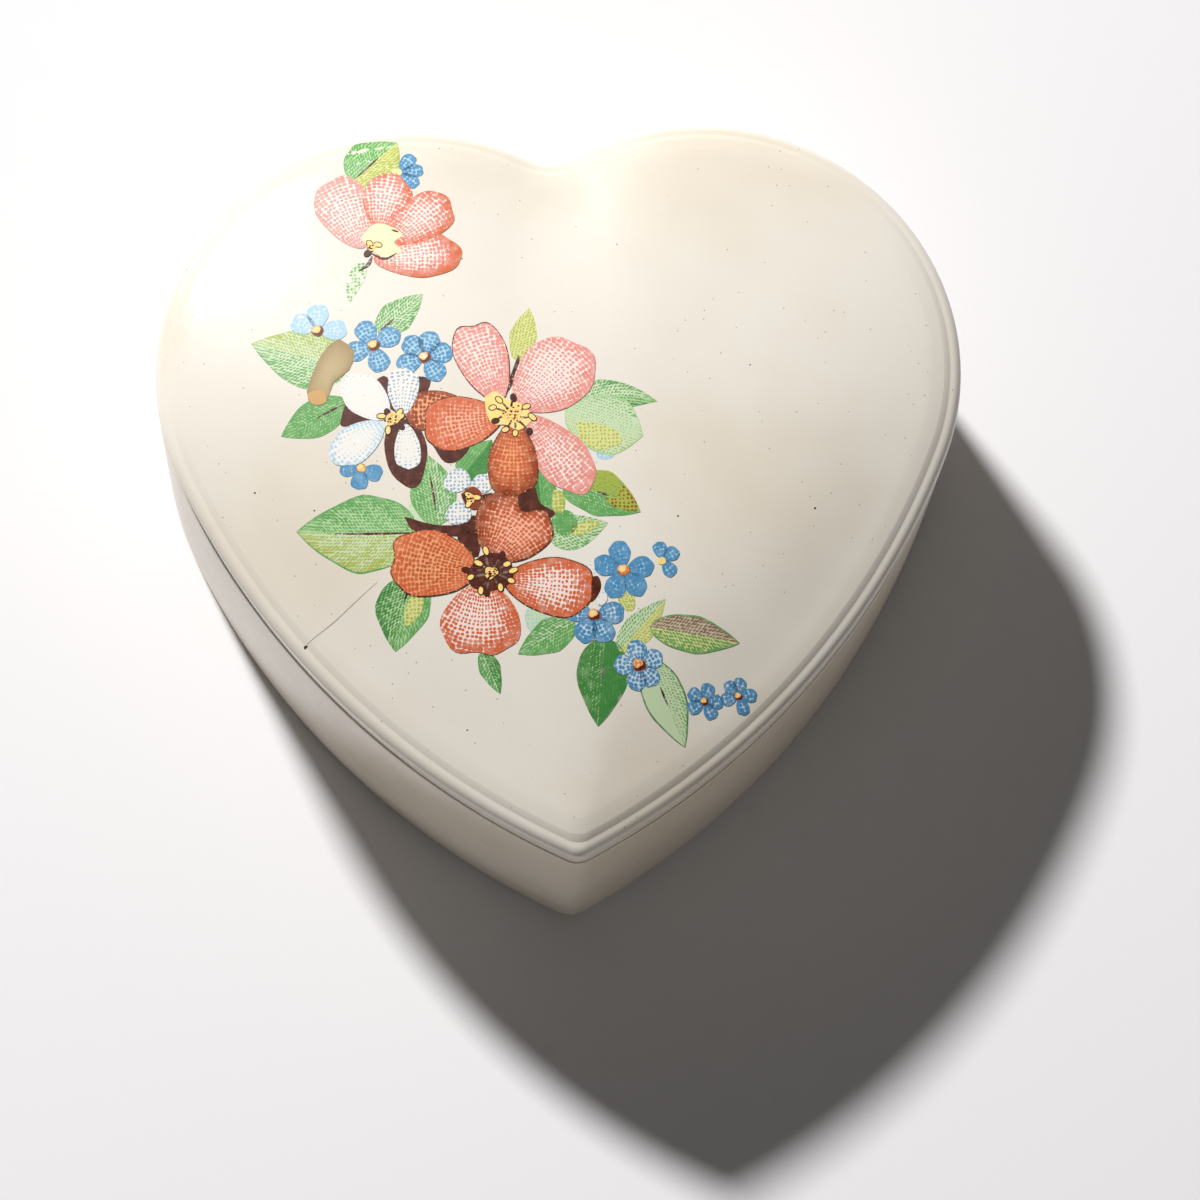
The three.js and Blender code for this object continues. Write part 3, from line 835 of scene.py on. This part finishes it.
def print_blossoms():
    """The blossom at the side, the pink and coral ones in the middle, and the two white ones."""
    pink = (PINK, PINK, PINK_PAPER)
    warm_pink = (PINK, CORAL, PINK_PAPER)
    coral = (CORAL, CORAL, CORAL_PAPER)
    burnt = (CORAL, RUST, BURNT_PAPER)

    side = Motif("print_blossom_side")
    petal(side, (-25.6, 33.2), (-29.8, 43.8), 9.0, 4, pink, tone=(0.36, 0.72))
    petal(side, (-23.4, 35.6), (-21.5, 44.2), 7.8, 5, warm_pink, tone=(0.36, 0.78), shade=0.35)
    petal(side, (-21.8, 33.8), (-14.1, 40.2), 8.0, 6, warm_pink, tone=(0.36, 0.85), shade=0.3)
    petal(side, (-24.4, 31.4), (-12.7, 31.9), 7.8, 5, warm_pink, tone=(0.3, 1.0), shade=0.4)
    side_middle = [(-26.0, 34.6), (-24.6, 36.4), (-22.8, 36.6), (-20.4, 35.0), (-21.6, 33.8), (-20.6, 32.4),
                   (-22.8, 31.6), (-24.6, 32.8)]
    blot(side, side_middle, 7, (PALE_YELLOW, PALE_YELLOW))
    ribbon(side, curve((-24.8, 32.4), (-23.0, 31.4), (-21.2, 32.2)), 0.3, 8, BROWN)
    ribbon(side, curve((-21.9, 35.7), (-20.9, 35.3)), 0.3, 8, BROWN)
    ribbon(side, curve((-26.4, 29.9), (-25.2, 30.7), (-24.6, 31.9)), 0.45, 8, BROWN, 0.7)
    stamens(side, (-24.6, 33.2), 3, 1.0, 8, 5, heart=0.6)
    side.finish()

    big = Motif("print_blossom_pink")
    petal(big, (-12.0, 9.0), (-21.2, 9.2), 6.6, 4, (RUST, BURNT_PAPER), tone=(0.3, 0.9), rim=BROWN)
    petal(big, (-8.2, 7.8), (-18.5, 6.7), 8.8, 6, coral, tone=(0.42, 0.9), rim=BROWN, shade=-0.2)
    petal(big, (-8.4, 10.0), (-12.1, 21.4), 8.2, 6, pink, tone=(0.42, 0.72), notch=0.03, rim=BROWN,
          shade=0.5)
    petal(big, (-5.9, 9.2), (3.3, 17.3), 11.2, 7, pink, tone=(0.22, 0.78), narrow=0.3, shade=0.25)
    petal(big, (-5.0, 7.8), (2.9, -2.7), 8.2, 6, pink, tone=(0.4, 0.85))
    petal(big, (-6.6, 7.0), (-7.3, -3.4), 7.8, 7, burnt, tone=(0.5, 0.95), rim=BROWN, shade=0.35)
    big_middle = [(-10.4, 10.6), (-9.0, 11.4), (-7.4, 10.2), (-5.4, 9.4), (-4.2, 7.4), (-6.0, 5.8),
                  (-7.6, 6.6), (-9.4, 6.8), (-10.2, 8.4)]
    blot(big, big_middle, 9, (YELLOW, YELLOW, PALE_YELLOW), tone=(0.9, 0.9))
    stamens(big, (-6.8, 8.0), 9, 3.3, 9, 11, heart=1.3)
    big.finish()

    low = Motif("print_blossom_coral")
    petal(low, (-10.2, -11.6), (-4.6, -3.4), 11.2, 7, (CORAL, RUST, CORAL_PAPER), tone=(0.4, 0.85),
          notch=0.26, rim=BROWN, narrow=0.25, shade=-0.3)
    petal(low, (-12.4, -13.4), (-23.7, -10.7), 9.8, 8, (BURNT, CORAL, BURNT_PAPER), tone=(0.45, 0.68),
          notch=0.06, rim=BROWN, narrow=0.3)
    petal(low, (-8.6, -14.8), (2.9, -16.6), 9.2, 7, (CORAL, CORAL, PINK_PAPER), tone=(0.25, 1.0), rim=BROWN)
    petal(low, (-11.4, -15.0), (-12.5, -24.9), 11.8, 6, (CORAL, CORAL, PINK_PAPER), tone=(0.3, 0.85),
          notch=0.1, narrow=0.3, shade=0.35)
    low_middle = [(-13.6, -13.6), (-11.8, -11.4), (-9.0, -11.2), (-7.4, -13.4), (-8.2, -15.4),
                  (-11.0, -16.2), (-13.0, -15.4)]
    blot(low, low_middle, 9, (BROWN, RUST), tone=(0.9, 0.8))
    stamens(low, (-10.4, -13.7), 11, 3.4, 10, 23, heart=0.9)
    low.finish()

    white = Motif("print_blossom_white")
    cool = (SLATE, SLATE, WHITE)
    petal(white, (-23.4, 8.4), (-28.6, 14.4), 6.0, 5, cool, tone=(-0.3, 0.05), narrow=0.3)
    petal(white, (-21.4, 8.6), (-20.9, 15.4), 5.0, 6, cool, tone=(0.12, 0.4))
    petal(white, (-24.0, 7.6), (-30.8, 3.0), 5.8, 5, (SKY, SKY, WHITE), tone=(-0.15, 0.6), narrow=0.3,
          worn=0.08)
    petal(white, (-21.0, 7.4), (-20.7, 1.0), 4.2, 7, cool, tone=(-0.15, 0.32))
    stamens(white, (-22.6, 8.2), 6, 1.7, 8, 31, heart=1.0)
    for centre, size in (((-14.4, -0.9), 3.6), ((-11.0, -1.4), 2.9), ((-14.4, -5.4), 3.5)):
        fan(white, oval(centre, size, size * 0.9, 25, wobble=0.04), centre, 5, cool, tone=(0.2, 0.45))
    blot(white, [(-14.0, -2.8), (-12.4, -1.8), (-11.2, -3.0), (-12.0, -5.0), (-13.4, -4.4)], 6,
         (RUST, BROWN), tone=(0.8, 0.8))
    stamens(white, (-12.7, -3.5), 4, 0.9, 7, 37, heart=0.6)
    white.finish()


def print_forget_me_nots():
    """The small blue flowers. Their petals point along the bearings given in degrees."""
    blue = (BLUE, SKY)
    deep_blue = (BLUE, BLUE, SKY)
    pale = (BLUE, BLUE_PAPER)
    upper = Motif("print_forget_me_nots_upper")
    small_flower(upper, (-20.6, 44.5), (4, 52, -42), 2, deep_blue, reach=2.5, size=2.4, eye=None,
                 tone=(0.5, 0.95))
    fan(upper, oval((-20.8, 44.5), 1.3, 1.1), (-20.8, 44.5), 3, (PALE_YELLOW, YELLOW))
    small_flower(upper, (-32.2, 21.4), (150, 88, 0), 3, (SKY, BLUE_PAPER), worn=0.22, tone=(0.5, 0.8))
    small_flower(upper, (-24.8, 18.8), (115, 28, -76, -165), 3, blue, tone=(0.42, 0.8))
    small_flower(upper, (-18.1, 16.7), (130, 74, 14, -57, -163), 4, blue, tone=(0.42, 0.8),
                 eye=(PALE_YELLOW, BROWN))
    small_flower(upper, (-27.0, 1.6), (-100, -24, 175), 3, deep_blue, reach=1.9, size=2.8,
                 eye=(YELLOW, YELLOW), eye_size=1.2, tone=(0.8, 1.0))
    upper.finish()

    lower = Motif("print_forget_me_nots_lower")
    small_flower(lower, (7.1, -13.9), (100, 10, -53, -118, 163), 4, deep_blue, tone=(0.7, 1.0), reach=2.8,
                 size=3.4, eye=(YELLOW, ORANGE))
    small_flower(lower, (12.3, -12.6), (100, 34, -55), 4, deep_blue, tone=(0.6, 0.9), reach=1.7, size=2.3,
                 eye=None)
    fan(lower, oval((12.2, -12.7), 1.1, 1.0), (12.2, -12.7), 6, (YELLOW, YELLOW))
    small_flower(lower, (3.0, -19.8), (-120, -62, 6, 165), 5, (BLUE, BLUE_PAPER), tone=(0.55, 0.95),
                 reach=2.7, size=3.5)
    fan(lower, oval((4.1, -17.7), 1.9, 1.3, 60), (4.1, -17.7), 6, (SKY, WHITE), tone=(-0.2, 0.4))
    small_flower(lower, (8.7, -26.5), (98, 24, -48, -102, 178), 5, pale, tone=(0.45, 0.7), reach=2.2,
                 size=3.1, eye=(ORANGE, BROWN), eye_size=1.6)
    small_flower(lower, (17.2, -31.1), (-152, 72, 0, -60, 146), 4, (BLUE, BLUE_PAPER), tone=(0.6, 0.95),
                 reach=1.7, size=2.2, eye_size=1.0)
    small_flower(lower, (21.8, -30.3), (83, 7, -71, -166, 133), 4, (BLUE, BLUE_PAPER), tone=(0.6, 0.95),
                 reach=1.7, size=2.1, eye_size=1.0)
    lower.finish()


print_leaves()
print_ground()
print_blossoms()
print_forget_me_nots()


# ---------------------------------------------------------------- age marks on the lid
def age_marks():
    """A hairline crack in the glaze that runs in from a tiny chip on the shoulder, and a few dark spots."""
    marks = Motif("hairline_crack")
    path = curve((-34.9, -21.0), (-33.6, -20.1), (-31.2, -18.5), (-28.2, -16.1), (-25.4, -13.9), steps=5)
    ribbon(marks, path, 0.11, 0, CRACK)
    chip = (-35.1, -21.3)
    fan(marks, oval(chip, 0.55, 0.4, 35, count=14, wobble=0.16), chip, 0, (CHIP, CHIP))
    for x, y, size in ((-41.2, -0.4, 0.3), (14.6, -6.6, 0.3), (33.0, -5.2, 0.34), (-33.4, -3.6, 0.26),
                       (-12.6, 31.0, 0.22), (8.2, 32.6, 0.2), (25.2, 14.6, 0.22), (-14.2, -34.0, 0.24)):
        fan(marks, oval((x, y), size, size * 0.8, count=10), (x, y), 0, (SPOT, SPOT))
    marks.finish()


age_marks()

# ---------------------------------------------------------------- floor, camera and light
FLOOR_SIZE = 6.0
FLOOR_COLOUR = rgb(238, 236, 237)


def make_floor():
    corner = FLOOR_SIZE / 2
    points = [(-corner, -corner, 0), (corner, -corner, 0), (corner, corner, 0), (-corner, corner, 0)]
    mesh = bpy.data.meshes.new("floor")
    mesh.from_pydata(points, [], [(0, 1, 2, 3)])
    floor = bpy.data.objects.new("floor", mesh)
    bpy.context.scene.collection.objects.link(floor)
    paint = Nodes("pale_floor")
    paint.shader.inputs["Base Color"].default_value = FLOOR_COLOUR
    paint.shader.inputs["Roughness"].default_value = 0.9
    floor.data.materials.append(paint.material)
    return floor


floor = make_floor()

CAMERA_AZIMUTH = math.radians(8.63)
CAMERA_ELEVATION = math.radians(72.62)
CAMERA_ROLL = math.radians(6.59)
CAMERA_DISTANCE = 1.1
VIEW_WIDTH = 0.162
CAMERA_TARGET = Vector((0.00497, -0.01028, 0.020))
FILL_COLOUR = (1, 0.98, 0.96, 1)
FILL_STRENGTH = 0.07


def make_camera():
    """A camera that looks down at the box from in front of its tip, rolled a little."""
    forward = Vector((
        math.sin(CAMERA_AZIMUTH) * math.cos(CAMERA_ELEVATION),
        math.cos(CAMERA_AZIMUTH) * math.cos(CAMERA_ELEVATION),
        -math.sin(CAMERA_ELEVATION)))
    right = Vector((math.cos(CAMERA_AZIMUTH), -math.sin(CAMERA_AZIMUTH), 0))
    up = right.cross(forward)
    across = right * math.cos(CAMERA_ROLL) + up * math.sin(CAMERA_ROLL)
    upright = up * math.cos(CAMERA_ROLL) - right * math.sin(CAMERA_ROLL)
    data = bpy.data.cameras.new("camera")
    data.lens = data.sensor_width * CAMERA_DISTANCE / VIEW_WIDTH
    camera = bpy.data.objects.new("camera", data)
    bpy.context.scene.collection.objects.link(camera)
    place = CAMERA_TARGET - forward * CAMERA_DISTANCE
    axes = Matrix((across, upright, -forward)).transposed().to_4x4()
    camera.matrix_world = Matrix.Translation(place) @ axes
    bpy.context.scene.camera = camera


def add_light(name, bearing, elevation, distance, size, energy):
    """A soft round source that faces the box from a bearing and an elevation in degrees."""
    turn = math.radians(bearing)
    rise = math.radians(elevation)
    away = Vector((math.cos(turn) * math.cos(rise), math.sin(turn) * math.cos(rise), math.sin(rise)))
    data = bpy.data.lights.new(name, "AREA")
    data.shape = "DISK"
    data.size = size
    data.energy = energy
    light = bpy.data.objects.new(name, data)
    bpy.context.scene.collection.objects.link(light)
    aim = away.to_track_quat("Z", "Y").to_matrix().to_4x4()
    light.matrix_world = Matrix.Translation(away * distance) @ aim


def make_light():
    """One key light high behind the left lobe, a weak card in front on the right, and a fill all round."""
    add_light("key", bearing=119.5, elevation=42.5, distance=1.8, size=0.19, energy=44.5)
    add_light("card", bearing=-55, elevation=20, distance=1.2, size=0.5, energy=0.85)
    world = bpy.data.worlds.new("fill")
    bpy.context.scene.world = world
    world.use_nodes = True
    background = world.node_tree.nodes["Background"]
    background.inputs["Color"].default_value = FILL_COLOUR
    background.inputs["Strength"].default_value = FILL_STRENGTH


make_camera()
make_light()
bpy.context.scene.view_settings.view_transform = "Standard"
